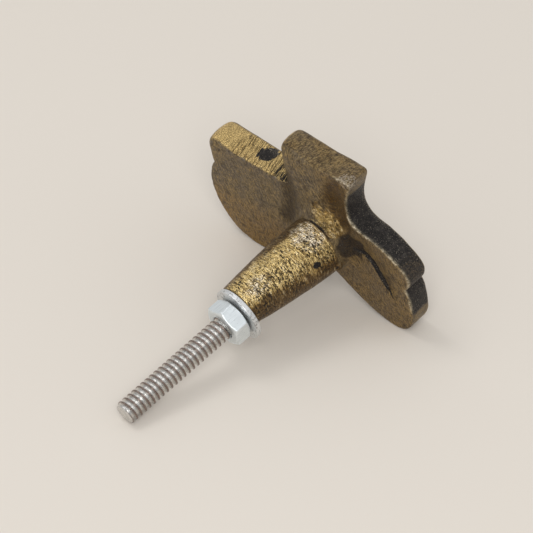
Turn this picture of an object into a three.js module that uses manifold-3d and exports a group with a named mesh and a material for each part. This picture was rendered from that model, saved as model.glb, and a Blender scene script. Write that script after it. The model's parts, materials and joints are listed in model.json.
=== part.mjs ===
// A cast-brass cabinet knob with its fixing hardware: a slab head with a centre lobe and two
// scalloped wings, a round tapered stem, a threaded stud, a flat washer and a hexagon nut.
//
// Millimetres, +Z up. The knob lies on a flat surface at z = 0, resting on the lower corners of
// its wings and on the tip of its stud. +X runs across the wings and the stud points towards -Y.
// The origin is under the middle of the whole object.
//
// The pieces are modelled in the head's own frame: its origin is where the stem's axis meets the
// back of the head, X runs across the wings, Y points out of the front, and Z runs up the lobe.

import * as THREE from 'three';
import { mergeVertices } from 'three/addons/utils/BufferGeometryUtils.js';
import Module from 'manifold-3d';

const wasm = await Module();
wasm.setup();

// Head
const HEAD_LEAN = 8.2;            // degrees that the top of the head leans towards the stud
const HEAD_THICKNESS = 5.25;      // at the stem's axis
const FRONT_TAPER = 0.033;        // how much thinner it gets for each mm towards the short wing
const HEAD_FRONT_ROUND = 0.5;     // rounding round the edge of the front face
const LOBE_LEFT = -8.1;
const LOBE_RIGHT = 7.1;
const LOBE_TOP_LEFT = 17.0;
const LOBE_TOP_RIGHT = 17.6;
const CORNER_RUN = 1.3;           // how far the rounding of the lobe's corners runs
const LEFT_WING_END = -26.4;
const LEFT_WING_TOP = 8.3;
const RIGHT_WING_END = 18.4;
const HEAD_BOTTOM = -12.8;

// Stem
const STEM_LENGTH = 20;           // from the back of the head to the middle of the stem's end
const STEM_YAW = 6.0;             // degrees that it turns towards -X from square to the head
const STEM_DIP = 1.9;             // degrees that it dips from square to the head
const STEM_END_RADIUS = 3.95;
const STEM_ROOT_RADIUS = 5.4;
const STEM_SWELL = 1.7;           // how early along its length the stem fills out
const COLLAR_HEIGHT = 2.3;        // from the back of the head up to the cast step
const COLLAR_STEP = 0.3;
const COLLAR_DROP = 0.3;          // length of the step's short cone
const ROOT_FLARE_RADIUS = 7.1;
const ROOT_DEPTH = 3;             // how far the stem's solid runs into the head

// Stud: not quite in line with the stem, because the hole was drilled by hand
const STUD_YAW = 5.25;
const STUD_DIP = 6.05;
const STUD_OFFSET_X = 0.7;        // stud axis from the stem's axis, in the plane of the stem's end
const STUD_OFFSET_Z = -0.67;
const STUD_LENGTH = 27.2;         // beyond the stem's end
const STUD_BURIED = 9;
const THREAD_MAJOR_RADIUS = 2.06;
const THREAD_MINOR_RADIUS = 1.58;
const THREAD_PITCH = 1.0;
const THREAD_CREST = 0.26;        // width along the axis of the crest and of the root
const THREAD_ROOT = 0.26;
const STUD_TIP_CHAMFER = 0.5;
const HOLE_RADIUS = 2.4;
const HOLE_DEPTH = 10;
const DRILL_POINT = 1;            // depth of the cone at the bottom of the hole

// Washer and nut
const SEAT_GAP = 0.3;
const WASHER_RADIUS = 4.95;
const WASHER_HOLE_RADIUS = 2.4;
const WASHER_THICKNESS = 0.9;
const WASHER_EDGE = 0.15;
const NUT_ACROSS_FLATS = 7.0;
const NUT_THICKNESS = 3.1;
const NUT_CHAMFER_ANGLE = 30;
const NUT_TURN = 55.4;            // degrees round the stud of the middle of one flat
const THREAD_PLAY = 0.1;          // clearance of the nut's thread, radially and on each flank
const NUT_MOUTH = 0.3;            // countersink at each end of the nut's thread, beyond its root
const NUT_MOUTH_DEPTH = 0.7;
const NUT_FACE_MARGIN = 0.1;      // from the flats in to the circle where the end chamfers start

// Facets
const STEM_SEGMENTS = 40;
const WASHER_SEGMENTS = 48;
const THREAD_SEGMENTS = 20;       // facets in one turn
const FLARE_STEPS = 4;
const TAPER_STEPS = 6;
const CUT = 1;                    // how far a cutting solid runs past what it cuts

// ---------------------------------------------------------------- helpers

function toSolid(geometry) {
  const bare = geometry.clone();
  for (const name of Object.keys(bare.attributes)) {
    if (name !== 'position') bare.deleteAttribute(name);
  }
  const merged = mergeVertices(bare, 1e-4);
  return new wasm.Manifold(new wasm.Mesh({
    numProp: 3,
    vertProperties: Float32Array.from(merged.attributes.position.array),
    triVerts: Uint32Array.from(merged.index.array),
  }));
}

function toGeometry(solid) {
  const mesh = solid.getMesh();
  const geometry = new THREE.BufferGeometry();
  geometry.setAttribute('position', new THREE.BufferAttribute(mesh.vertProperties, 3));
  geometry.setIndex(new THREE.BufferAttribute(mesh.triVerts, 1));
  geometry.computeVertexNormals();
  return geometry;
}

// A solid of revolution about Z from [radius, z] pairs that start and end on the axis, or close.
function turned(pairs, segments) {
  const points = pairs.map(([radius, z]) => new THREE.Vector2(radius, z));
  return new THREE.LatheGeometry(points, segments).rotateX(Math.PI / 2);
}

// The direction that points from the head towards the stud's tip, turned and dipped off square.
function leaning(yaw, dip) {
  const turn = THREE.MathUtils.degToRad(yaw);
  const fall = THREE.MathUtils.degToRad(dip);
  return new THREE.Vector3(
    -Math.sin(turn) * Math.cos(fall),
    -Math.cos(turn) * Math.cos(fall),
    -Math.sin(fall),
  );
}

// A frame at a point with its Z along the direction and its Y as near to up as it can be.
function frameAlong(direction, point) {
  const side = new THREE.Vector3(0, 0, 1).cross(direction).normalize();
  const up = direction.clone().cross(side);
  return new THREE.Matrix4().makeBasis(side, up, direction).setPosition(point);
}

const stemDirection = leaning(STEM_YAW, STEM_DIP);
const studDirection = leaning(STUD_YAW, STUD_DIP);
const stemEnd = stemDirection.clone().multiplyScalar(STEM_LENGTH);
const stemFrame = frameAlong(stemDirection, new THREE.Vector3());

// The stud crosses the stem's end plane, which is square to the stud, beside the stem's axis.
function studSeat() {
  const { x, y, z } = studDirection;
  const slide = -(x * STUD_OFFSET_X + z * STUD_OFFSET_Z) / y;
  return stemEnd.clone().add(new THREE.Vector3(STUD_OFFSET_X, slide, STUD_OFFSET_Z));
}

const studFrame = frameAlong(studDirection, studSeat());

// ---------------------------------------------------------------- head and stem

// The head's outline from behind, as x and z: the lobe, the right wing, the arch under the stem
// and the left wing, clockwise from the middle of the lobe's top edge.
function headOutline() {
  const shape = new THREE.Shape();
  shape.moveTo((LOBE_LEFT + LOBE_RIGHT) / 2, (LOBE_TOP_LEFT + LOBE_TOP_RIGHT) / 2);
  shape.lineTo(LOBE_RIGHT - CORNER_RUN, LOBE_TOP_RIGHT);
  shape.quadraticCurveTo(LOBE_RIGHT, LOBE_TOP_RIGHT, LOBE_RIGHT - 0.2, LOBE_TOP_RIGHT - 1.4);
  shape.bezierCurveTo(6.2, 14.0, 5.3, 12.0, 6.0, 9.6);
  shape.bezierCurveTo(6.6, 7.2, 8.2, 6.6, 9.8, 6.3);
  shape.bezierCurveTo(12.8, 5.6, 15.4, 4.2, 17.2, 2.7);
  shape.quadraticCurveTo(RIGHT_WING_END + 0.5, 1.4, RIGHT_WING_END - 0.2, -0.4);
  shape.quadraticCurveTo(17.8, -1.2, 17.3, -1.8);
  shape.bezierCurveTo(18.3, -3.4, 18.7, -6.4, RIGHT_WING_END + 0.1, -8.6);
  shape.bezierCurveTo(18.2, -10.8, 17.2, -12.4, 14.9, HEAD_BOTTOM);
  shape.bezierCurveTo(11.6, -13.0, 7.6, -11.2, 4.2, -9.0);
  shape.bezierCurveTo(1.2, -6.6, -4.6, -6.2, -7.6, -8.4);
  shape.bezierCurveTo(-10.4, -10.6, -13.0, -12.6, -16.6, HEAD_BOTTOM);
  shape.bezierCurveTo(-21.4, -12.9, -24.8, -9.6, -26.0, -5.6);
  shape.bezierCurveTo(LEFT_WING_END - 0.5, -2.6, LEFT_WING_END - 0.3, 0.8, -25.2, 3.0);
  shape.bezierCurveTo(-25.6, 4.4, -25.6, 5.0, -25.8, 6.4);
  shape.quadraticCurveTo(-26.0, LEFT_WING_TOP, -24.2, LEFT_WING_TOP);
  shape.lineTo(LOBE_LEFT, LEFT_WING_TOP);
  shape.lineTo(LOBE_LEFT, LOBE_TOP_LEFT - CORNER_RUN);
  shape.quadraticCurveTo(LOBE_LEFT, LOBE_TOP_LEFT, LOBE_LEFT + CORNER_RUN, LOBE_TOP_LEFT);
  return shape;
}

// The head as a slab: rounded round its front edge, cut off square at its back face, y = 0, and
// with its front face sloped so that the slab is thicker at the long wing.
function headSlab() {
  const geometry = new THREE.ExtrudeGeometry(headOutline(), {
    depth: HEAD_THICKNESS - HEAD_FRONT_ROUND,
    bevelThickness: HEAD_FRONT_ROUND,
    bevelSize: HEAD_FRONT_ROUND,
    bevelOffset: -HEAD_FRONT_ROUND,
    bevelSegments: 2,
    curveSegments: 5,
  });
  geometry.rotateX(Math.PI / 2).translate(0, HEAD_THICKNESS - HEAD_FRONT_ROUND, 0);
  const position = geometry.attributes.position;
  for (let i = 0; i < position.count; i += 1) {
    const share = 1 - (FRONT_TAPER / HEAD_THICKNESS) * position.getX(i);
    position.setY(i, position.getY(i) * share);
  }
  const behind = new THREE.BoxGeometry(80, 20, 80).translate(0, -10, 0);
  return toSolid(geometry).subtract(toSolid(behind));
}

// Radius of the stem at a distance from its end, swelling towards the root.
function stemRadius(fromEnd) {
  const left = 1 - fromEnd / (STEM_LENGTH - COLLAR_HEIGHT);
  return STEM_END_RADIUS + (STEM_ROOT_RADIUS - STEM_END_RADIUS) * (1 - left ** STEM_SWELL);
}

// The stem about its own axis: flared root inside the head, cast step, then the long taper. It
// runs a little past its end, where the end face is cut square to the stud.
function stemSolid() {
  const neck = STEM_ROOT_RADIUS - COLLAR_STEP;
  const profile = [[0, -ROOT_DEPTH], [ROOT_FLARE_RADIUS, -ROOT_DEPTH], [ROOT_FLARE_RADIUS, 0]];
  for (let i = 1; i <= FLARE_STEPS; i += 1) {
    const turn = (i / FLARE_STEPS) * (Math.PI / 2);
    const radius = neck + (ROOT_FLARE_RADIUS - neck) * (1 - Math.sin(turn));
    profile.push([radius, (COLLAR_HEIGHT - COLLAR_DROP) * (1 - Math.cos(turn))]);
  }
  for (let i = TAPER_STEPS; i >= 0; i -= 1) {
    const fromEnd = (i / TAPER_STEPS) * (STEM_LENGTH - COLLAR_HEIGHT);
    profile.push([stemRadius(fromEnd), STEM_LENGTH - fromEnd]);
  }
  profile.push([STEM_END_RADIUS, STEM_LENGTH + CUT], [0, STEM_LENGTH + CUT]);
  return toSolid(turned(profile, STEM_SEGMENTS).applyMatrix4(stemFrame));
}

function knobCasting() {
  const beyondEnd = new THREE.BoxGeometry(40, 40, 20).translate(0, 0, 10).applyMatrix4(studFrame);
  const hole = turned(
    [[0, -HOLE_DEPTH - DRILL_POINT], [HOLE_RADIUS, -HOLE_DEPTH], [HOLE_RADIUS, CUT], [0, CUT]],
    STEM_SEGMENTS,
  ).applyMatrix4(studFrame);
  const body = headSlab().add(stemSolid());
  return toGeometry(body.subtract(toSolid(beyondEnd)).subtract(toSolid(hole)));
}

// ---------------------------------------------------------------- thread

// An endless-looking right-hand thread as one closed solid, run out past both ends so that it can
// be cut to length. Its crest and root are flat bands that follow the same helix.
function threadSolid(major, minor, crest, from, to) {
  const flank = (THREAD_PITCH - crest - THREAD_ROOT) / 2;
  const profile = [[minor, 0], [major, flank], [major, flank + crest], [minor, 2 * flank + crest]];
  const start = Math.floor(from / THREAD_PITCH) - 1;
  const stations = (Math.ceil(to / THREAD_PITCH) + 1 - start) * THREAD_SEGMENTS;
  const lead = -crest / 2 - flank;
  const vertices = [];
  for (let i = 0; i <= stations; i += 1) {
    const turn = (i / THREAD_SEGMENTS) * 2 * Math.PI;
    const base = (start + i / THREAD_SEGMENTS) * THREAD_PITCH + lead;
    for (const [radius, rise] of profile) {
      vertices.push(radius * Math.cos(turn), radius * Math.sin(turn), base + rise);
    }
  }
  const at = (station, corner) => station * profile.length + corner;
  const triangles = [];
  const quad = (a, b, c, d) => triangles.push(a, b, c, a, c, d);
  for (let i = 0; i < stations; i += 1) {
    for (let k = 0; k < 3; k += 1) quad(at(i, k), at(i + 1, k), at(i + 1, k + 1), at(i, k + 1));
    const above = i + THREAD_SEGMENTS;
    if (above < stations) quad(at(i, 3), at(i + 1, 3), at(above + 1, 0), at(above, 0));
  }
  const finish = start + stations / THREAD_SEGMENTS;
  closeEnd(vertices, triangles, lowerRim(at), (start - 1) * THREAD_PITCH);
  closeEnd(vertices, triangles, upperRim(at, stations), (finish + 1) * THREAD_PITCH);
  const geometry = new THREE.BufferGeometry();
  geometry.setAttribute('position', new THREE.Float32BufferAttribute(vertices, 3));
  geometry.setIndex(triangles);
  return toSolid(geometry);
}

// The open rims at the two ends of the helix, in the order that makes their fans face outwards.
function lowerRim(at) {
  const rim = [];
  for (let i = THREAD_SEGMENTS; i >= 0; i -= 1) rim.push(at(i, 0));
  return rim.concat([at(0, 1), at(0, 2), at(0, 3)]);
}

function upperRim(at, stations) {
  const rim = [];
  for (let i = stations - THREAD_SEGMENTS; i <= stations; i += 1) rim.push(at(i, 3));
  return rim.concat([at(stations, 2), at(stations, 1), at(stations, 0)]);
}

function closeEnd(vertices, triangles, rim, z) {
  const tip = vertices.length / 3;
  vertices.push(0, 0, z);
  rim.forEach((vertex, i) => triangles.push(tip, vertex, rim[(i + 1) % rim.length]));
}

// ---------------------------------------------------------------- stud, washer and nut

// All three are modelled about the stud's axis, with z = 0 at the stem's end face.
function threadedStud() {
  const wide = THREAD_MAJOR_RADIUS + CUT;
  const tip = THREAD_MAJOR_RADIUS - STUD_TIP_CHAMFER;
  const envelope = toSolid(turned([
    [0, 0], [wide, 0], [wide, STUD_LENGTH - STUD_TIP_CHAMFER - CUT],
    [tip, STUD_LENGTH], [0, STUD_LENGTH],
  ], THREAD_SEGMENTS));
  const shank = toSolid(turned([
    [0, -STUD_BURIED], [THREAD_MINOR_RADIUS, -STUD_BURIED],
    [THREAD_MINOR_RADIUS, THREAD_PITCH], [0, THREAD_PITCH],
  ], THREAD_SEGMENTS));
  const thread = threadSolid(
    THREAD_MAJOR_RADIUS,
    THREAD_MINOR_RADIUS,
    THREAD_CREST,
    0,
    STUD_LENGTH,
  );
  return toGeometry(thread.intersect(envelope).add(shank));
}

function flatWasher() {
  const low = SEAT_GAP;
  const high = SEAT_GAP + WASHER_THICKNESS;
  const geometry = turned([
    [WASHER_HOLE_RADIUS, low], [WASHER_RADIUS - WASHER_EDGE, low],
    [WASHER_RADIUS, low + WASHER_EDGE], [WASHER_RADIUS, high - WASHER_EDGE],
    [WASHER_RADIUS - WASHER_EDGE, high], [WASHER_HOLE_RADIUS, high], [WASHER_HOLE_RADIUS, low],
  ], WASHER_SEGMENTS);
  return toGeometry(toSolid(geometry));
}

// A hexagon prism between two planes, with one flat's middle at NUT_TURN.
function hexPrism(low, high) {
  const corner = NUT_ACROSS_FLATS / Math.sqrt(3);
  const shape = new THREE.Shape();
  for (let i = 0; i < 6; i += 1) {
    const turn = THREE.MathUtils.degToRad(NUT_TURN + 30 + 60 * i);
    const place = [corner * Math.cos(turn), corner * Math.sin(turn)];
    if (i === 0) shape.moveTo(...place);
    else shape.lineTo(...place);
  }
  const prism = new THREE.ExtrudeGeometry(shape, { depth: high - low, bevelEnabled: false });
  return prism.translate(0, 0, low);
}

function hexNut() {
  const low = 2 * SEAT_GAP + WASHER_THICKNESS;
  const high = low + NUT_THICKNESS;
  const faceRadius = NUT_ACROSS_FLATS / 2 - NUT_FACE_MARGIN;
  const corner = NUT_ACROSS_FLATS / Math.sqrt(3) + NUT_FACE_MARGIN;
  const slope = (corner - faceRadius) * Math.tan(THREE.MathUtils.degToRad(NUT_CHAMFER_ANGLE));
  const chamfered = turned([
    [0, low], [faceRadius, low], [corner, low + slope],
    [corner, high - slope], [faceRadius, high], [0, high],
  ], WASHER_SEGMENTS);
  const grooves = threadSolid(
    THREAD_MAJOR_RADIUS + THREAD_PLAY,
    THREAD_MINOR_RADIUS + THREAD_PLAY,
    THREAD_CREST + 2 * THREAD_PLAY,
    low,
    high,
  );
  const wide = THREAD_MAJOR_RADIUS + THREAD_PLAY + NUT_MOUTH;
  const narrow = THREAD_MINOR_RADIUS;
  const mouth = turned([
    [0, low - CUT], [wide, low - CUT], [wide, low], [narrow, low + NUT_MOUTH_DEPTH],
    [narrow, high - NUT_MOUTH_DEPTH], [wide, high], [wide, high + CUT], [0, high + CUT],
  ], STEM_SEGMENTS);
  const blank = toSolid(hexPrism(low, high)).intersect(toSolid(chamfered));
  return toGeometry(blank.subtract(grooves).subtract(toSolid(mouth)));
}

// ---------------------------------------------------------------- assembly

function piece(name, geometry, color, roughness, metalness) {
  const material = new THREE.MeshStandardMaterial({ color, roughness, metalness });
  const mesh = new THREE.Mesh(geometry, material);
  mesh.name = name;
  return mesh;
}

const hardware = new THREE.Group();
hardware.add(
  piece('threaded_stud', threadedStud(), 0x8d8984, 0.4, 1),
  piece('flat_washer', flatWasher(), 0xb9bcbe, 0.45, 1),
  piece('hex_nut', hexNut(), 0xc3cacd, 0.38, 1),
);
studFrame.decompose(hardware.position, hardware.quaternion, hardware.scale);

const resting = new THREE.Group();
resting.add(piece('knob_casting', knobCasting(), 0x7d6538, 0.5, 1), hardware);
resting.rotation.x = THREE.MathUtils.degToRad(HEAD_LEAN);

// Set the knob down on z = 0 with the origin under the middle of its bounding box.
const box = new THREE.Box3().setFromObject(resting, true);
resting.position.set(-(box.min.x + box.max.x) / 2, -(box.min.y + box.max.y) / 2, -box.min.z);

const knob = new THREE.Group();
knob.add(resting);

export default knob;
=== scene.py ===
"""The looks of the cast-brass cabinet knob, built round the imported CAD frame.

Shapes are worked out in millimetres in the head's own frame (origin where the stem's axis meets the
back of the head, X across the wings, Y out of the front, Z up the lobe) and then placed in the
part's frame, which is in metres with Z up from the floor.
"""

import json
import math

import bpy
import numpy as np
from mathutils import Matrix, Vector


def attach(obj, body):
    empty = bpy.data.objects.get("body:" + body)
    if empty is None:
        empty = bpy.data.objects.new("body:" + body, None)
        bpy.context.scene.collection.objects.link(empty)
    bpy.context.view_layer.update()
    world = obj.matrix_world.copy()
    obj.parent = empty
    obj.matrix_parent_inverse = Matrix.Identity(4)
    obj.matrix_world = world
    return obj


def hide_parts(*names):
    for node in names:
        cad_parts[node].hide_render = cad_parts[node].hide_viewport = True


MM = 0.001

# Head, as in the CAD part
HEAD_THICKNESS = 5.25          # at the stem's axis
FRONT_TAPER = 0.033            # how much thinner for each mm towards the short wing
FRONT_POINT_Z = 2.0            # where the record's front mount sits, up the lobe
LOBE_LEFT = -8.1
LOBE_RIGHT = 7.1
LOBE_TOP_LEFT = 17.0
LOBE_TOP_RIGHT = 17.6
LEFT_WING_TOP = 8.3
HEAD_BOTTOM = -12.8

# Stem
STEM_LENGTH = 20.0
STEM_YAW = 6.0
STEM_DIP = 1.9
STEM_END_RADIUS = 3.95
STEM_ROOT_RADIUS = 5.4
STEM_SWELL = 1.7
COLLAR_HEIGHT = 2.3
FLARE_RADIUS = 7.1

# Stud, washer and nut
NUT_MIDDLE = 3.05              # from the stem's end to the middle of the nut, along the stud
STUD_LENGTH = 27.2
STUD_BURIED = 9.0
THREAD_MAJOR = 2.06
THREAD_MINOR = 1.58
THREAD_PITCH = 1.0
HOLE_RADIUS = 2.4
HOLE_DEPTH = 10.0
SEAT_GAP = 0.3
WASHER_RADIUS = 4.95
WASHER_HOLE = 2.4
WASHER_THICKNESS = 0.9
NUT_FLATS = 7.0
NUT_THICKNESS = 3.1
NUT_TURN = 55.4

STUD_SHANK = 1.9               # radius of the stud's plain part, inside the stem
STUD_TIP = 1.5                 # radius of the flat on the stud's tip
TIP_DIMPLE = 0.2               # depth of the hollow in the tip
WASHER_EDGE = 0.10             # radius of the washer's rounded edges
WASHER_SUPPORT = 0.16          # from a rounded edge to the next loop of vertices
NUT_CHAMFER = 30.0             # degrees
NUT_CHAMFER_START = 3.35       # radius where the end chamfers start
THREAD_PLAY = 0.1              # clearance of the nut's thread
NUT_MOUTH = 0.6                # how far the nut's thread is countersunk beyond its crest

# Marks in the back of the head: (x, z) places, sizes and depths
SCOOP_PLACE = (3.0, 9.6)
SCOOP_SIZE = (3.6, 5.6)
SCOOP_DEPTH = 0.85
VALLEY_REACH = 2.4
VALLEY_DEPTH = 0.4
CREASE_STEP = 0.55             # how much lower the back lies on one side of the crease
CREASE_DEPTH = 0.6
LOBE_RISE = 0.2

# Worn corners: (x, z), reach and share
WORN_LOBE = (-8.2, 17.2, 9.0, 1.0)
WORN_WING = (-26.0, LEFT_WING_TOP, 7.0, 0.7)

# Marks on the skin, and places of painted shade and sheen: centres and radii of ellipsoids in the head's
# frame
SPOT = ((-15.0, 3.5, LEFT_WING_TOP), (2.3, 2.5, 1.5))
SCUFF = ((-8.8, 2.4, LEFT_WING_TOP), (3.4, 3.0, 1.5))
PAINTED_SCOOP_SHADE = ((4.0, -0.3, 11.2), (3.9, 3.0, 7.4))
PAINTED_ROOT_SHADE = ((6.4, -0.6, 2.2), (3.3, 2.6, 3.0))
WORN_SHEEN_CORNER = ((6.4, 0.6, 17.4), (3.2, 2.2, 2.0))

# Meshing
CAST_LOW = (-27.073, -21.037, -13.691)   # an odd start, so that no grid line meets a corner
CAST_HIGH = (19.6, 6.6, 18.4)
CAST_STEP = 0.2
NUT_LOW = (-4.3, -4.3, 1.2)
NUT_HIGH = (4.3, 4.3, 4.9)
NUT_STEP = 0.08
JUST_INSIDE = -0.01            # value given to grid corners that are filled in
PULLS = 2                      # times that vertices are pulled towards the surface
PULL_SHARE = 0.8               # how much of the way, each time
NORMAL_REACH = 0.12            # half the span over which the casting's normals are measured

# Floor, light and camera, in metres; the camera's aim (from the head) and distance in millimetres
FLOOR_HALF = 1.2
WORLD_STRENGTH = 0.61
LIGHT_TARGET = (0, 0, 0.01)
KEY_PLACE, KEY_SIZE, KEY_POWER = (-0.45, -0.12, 0.85), 0.4, 1.5
FILL_PLACE, FILL_SIZE, FILL_POWER = (0.44, -0.50, 0.70), 0.5, 3.6
CAMERA_WAY = (0.4970, -0.5529, 0.6689)
CAMERA_AIM = (-1.40, -13.41, 1.71)
CAMERA_DISTANCE = 556.67
CAMERA_LENS = 225.6
CAMERA_SENSOR = 36.0


# ------------------------------------------------------------------ small maths

def smooth_min(a, b, k):
    """The lower of two fields, rounded where they are less than k apart."""
    h = np.clip(0.5 + 0.5 * (b - a) / k, 0.0, 1.0)
    return b + (a - b) * h - k * h * (1.0 - h)


def smooth_max(a, b, k):
    return -smooth_min(-a, -b, k)


def ramp(value, low, high):
    """0 below low, 1 above high, smooth between."""
    t = np.clip((value - low) / (high - low), 0.0, 1.0)
    return t * t * (3.0 - 2.0 * t)


def lattice(ix, iy, iz, seed):
    """A fixed pseudo-random value from -1 to 1 at each whole-number point."""
    n = ix * 73856093 ^ iy * 19349663 ^ iz * 83492791 ^ (seed + 11) * 668265263
    n = (n ^ (n >> 13)) * 1274126177
    n = n ^ (n >> 16)
    return (n & 0xFFFF) / 32767.5 - 1.0


def noise(p, size, seed):
    """Smooth value noise, -1 to 1, with bumps about that many millimetres apart."""
    q = p / np.asarray(size, float)
    cell = np.floor(q).astype(np.int64)
    f = q - cell
    f = f * f * (3.0 - 2.0 * f)
    total = 0.0
    for dx in (0, 1):
        for dy in (0, 1):
            for dz in (0, 1):
                weight = (
                    (f[:, 0] if dx else 1 - f[:, 0])
                    * (f[:, 1] if dy else 1 - f[:, 1])
                    * (f[:, 2] if dz else 1 - f[:, 2])
                )
                total = total + weight * lattice(
                    cell[:, 0] + dx, cell[:, 1] + dy, cell[:, 2] + dz, seed
                )
    return total


def bezier(points, steps):
    """Points of a line, quadratic or cubic Bezier, without its first."""
    p = np.asarray(points, float)
    t = (np.arange(1, steps + 1) / steps)[:, None]
    if len(p) == 2:
        return p[1:2]
    if len(p) == 3:
        return (1 - t) ** 2 * p[0] + 2 * t * (1 - t) * p[1] + t * t * p[2]
    return (
        (1 - t) ** 3 * p[0] + 3 * t * (1 - t) ** 2 * p[1] + 3 * t * t * (1 - t) * p[2] + t ** 3 * p[3]
    )


def path(start, segments, steps=8):
    """A polyline from a start point through segments, each a tuple of control points."""
    points = [np.asarray([start], float)]
    for segment in segments:
        points.append(bezier([points[-1][-1], *segment], steps))
    return np.concatenate(points)


def line_distance(x, z, points):
    """Distance from (x, z) to a polyline, how far along it, and which side (+ on the left)."""
    best = np.full(np.broadcast(x, z).shape, 1e9)
    along = np.zeros_like(best)
    side = np.zeros_like(best)
    run = 0.0
    for (ax, az), (bx, bz) in zip(points[:-1], points[1:]):
        dx, dz = bx - ax, bz - az
        length = math.hypot(dx, dz)
        if length < 1e-9:
            continue
        t = np.clip(((x - ax) * dx + (z - az) * dz) / length ** 2, 0, 1)
        ox, oz = x - ax - t * dx, z - az - t * dz
        distance = np.sqrt(ox * ox + oz * oz)
        near = distance < best
        best = np.where(near, distance, best)
        along = np.where(near, run + t * length, along)
        side = np.where(near, dx * oz - dz * ox, side)
        run += length
    return best, along, side


def inside(x, z, points):
    """Whether (x, z) is inside a closed polygon."""
    odd = np.zeros(np.broadcast(x, z).shape, bool)
    for (ax, az), (bx, bz) in zip(points, np.roll(points, -1, axis=0)):
        if az == bz:
            continue
        crosses = (az > z) != (bz > z)
        at = ax + (z - az) * (bx - ax) / (bz - az)
        odd ^= crosses & (x < at)
    return odd


def polygon_distance(x, z, points):
    """Distance to a closed polygon, negative inside."""
    closed = np.concatenate([points, points[:1]])
    distance = line_distance(x, z, closed)[0]
    return np.where(inside(x, z, points), -distance, distance)


# ------------------------------------------------------------------ frames from the record

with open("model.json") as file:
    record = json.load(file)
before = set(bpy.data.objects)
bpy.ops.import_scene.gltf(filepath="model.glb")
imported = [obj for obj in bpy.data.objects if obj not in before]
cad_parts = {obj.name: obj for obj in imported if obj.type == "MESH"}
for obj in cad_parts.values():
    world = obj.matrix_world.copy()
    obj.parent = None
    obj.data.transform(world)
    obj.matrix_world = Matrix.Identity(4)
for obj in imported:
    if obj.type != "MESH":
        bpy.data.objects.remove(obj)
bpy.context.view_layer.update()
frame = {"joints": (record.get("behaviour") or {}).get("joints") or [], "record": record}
RECORD = frame["record"]


def mount(name):
    """A mount of the record, by name."""
    return next(m for m in RECORD["mounts"] if m["name"] == name)


def joint(name):
    """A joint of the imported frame, by name."""
    return next(j for j in frame["joints"] if j["name"] == name)


def frame_matrix(x, y, z, origin):
    """A matrix from its three axes and its origin."""
    return Matrix((
        (x[0], y[0], z[0], origin[0]),
        (x[1], y[1], z[1], origin[1]),
        (x[2], y[2], z[2], origin[2]),
        (0, 0, 0, 1),
    ))


def head_frame():
    """The head's frame inside the part's, in millimetres, from the record's front mount."""
    front = mount("head_front_face")
    out = Vector((0, *front["axis"][1:])).normalized()
    up = Vector((0, -out.z, out.y))
    origin = Vector(front["pos_m"]) / MM - HEAD_THICKNESS * out - FRONT_POINT_Z * up
    return frame_matrix((1, 0, 0), out, up, origin)


HEAD = head_frame()


def stud_frame():
    """The stud's frame inside the head's: Z along the stud, origin at the stem's end face."""
    spin = joint("nut_spin")
    back = HEAD.inverted()
    axis = (back.to_3x3() @ Vector(spin["axis"])).normalized()
    origin = back @ (Vector(spin["pos_m"]) / MM) - NUT_MIDDLE * axis
    side = Vector((0, 0, 1)).cross(axis).normalized()
    return frame_matrix(side, axis.cross(side), axis, origin)


STUD = stud_frame()


def lean(yaw, dip):
    """Unit vector out of the head's back, turned by a yaw to the left and a dip, in degrees."""
    yaw, dip = math.radians(yaw), math.radians(dip)
    return np.array([
        -math.sin(yaw) * math.cos(dip), -math.cos(yaw) * math.cos(dip), -math.sin(dip)
    ])


STEM_AXIS = lean(STEM_YAW, STEM_DIP)
STUD_AXIS = np.array(STUD.to_3x3().col[2])
STUD_SEAT = np.array(STUD.translation)


# ------------------------------------------------------------------ meshing a field

def surface_net(values, low, step):
    """Vertices and quads of the zero surface of a field sampled on a grid."""
    shape = values.shape
    corner_steps = [(i, j, k) for i in (0, 1) for j in (0, 1) for k in (0, 1)]
    negative = values < 0
    cells = tuple(n - 1 for n in shape)
    count = np.zeros(cells, np.int8)
    for i, j, k in corner_steps:
        count += negative[i:i + cells[0], j:j + cells[1], k:k + cells[2]]
    where = np.argwhere((count > 0) & (count < 8))
    index = np.full(cells, -1, np.int64)
    index[tuple(where.T)] = np.arange(len(where))
    total = np.zeros((len(where), 3))
    hits = np.zeros(len(where))
    for a in corner_steps:
        for axis in range(3):
            if a[axis]:
                continue
            b = tuple(c + (n == axis) for n, c in enumerate(a))
            va = values[tuple((where + a).T)]
            vb = values[tuple((where + b).T)]
            crossing = (va < 0) != (vb < 0)
            t = np.where(crossing, va / np.where(va == vb, 1, va - vb), 0)
            point = np.asarray(a, float) + t[:, None] * (np.asarray(b) - np.asarray(a))
            total += point * crossing[:, None]
            hits += crossing
    vertices = low + (where + total / hits[:, None]) * step
    return vertices, net_quads(negative, index)


def net_quads(negative, index):
    """A quad round every grid edge that the surface crosses, facing out of the negative side."""
    shape = negative.shape
    quads = []
    for axis in range(3):
        u, v = (axis + 1) % 3, (axis + 2) % 3
        first = [slice(None)] * 3
        second = [slice(None)] * 3
        first[axis], second[axis] = slice(0, shape[axis] - 1), slice(1, shape[axis])
        changed = np.argwhere(negative[tuple(first)] != negative[tuple(second)])
        changed = changed[(changed[:, u] > 0) & (changed[:, v] > 0)]
        outward = negative[tuple(changed.T)]
        ring = []
        for du, dv in ((1, 1), (0, 1), (0, 0), (1, 0)):
            cell = changed.copy()
            cell[:, u] -= du
            cell[:, v] -= dv
            ring.append(index[tuple(cell.T)])
        ring = np.stack(ring, 1)
        ring[~outward] = ring[~outward][:, ::-1]
        quads.append(ring)
    return np.concatenate(quads)


def gradient(field, p, reach):
    """The field's gradient at points, from differences over twice the reach."""
    g = np.zeros_like(p)
    for axis in range(3):
        step = np.zeros(3)
        step[axis] = reach
        g[:, axis] = (field(*(p + step).T) - field(*(p - step).T)) / (2 * reach)
    return g


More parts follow.
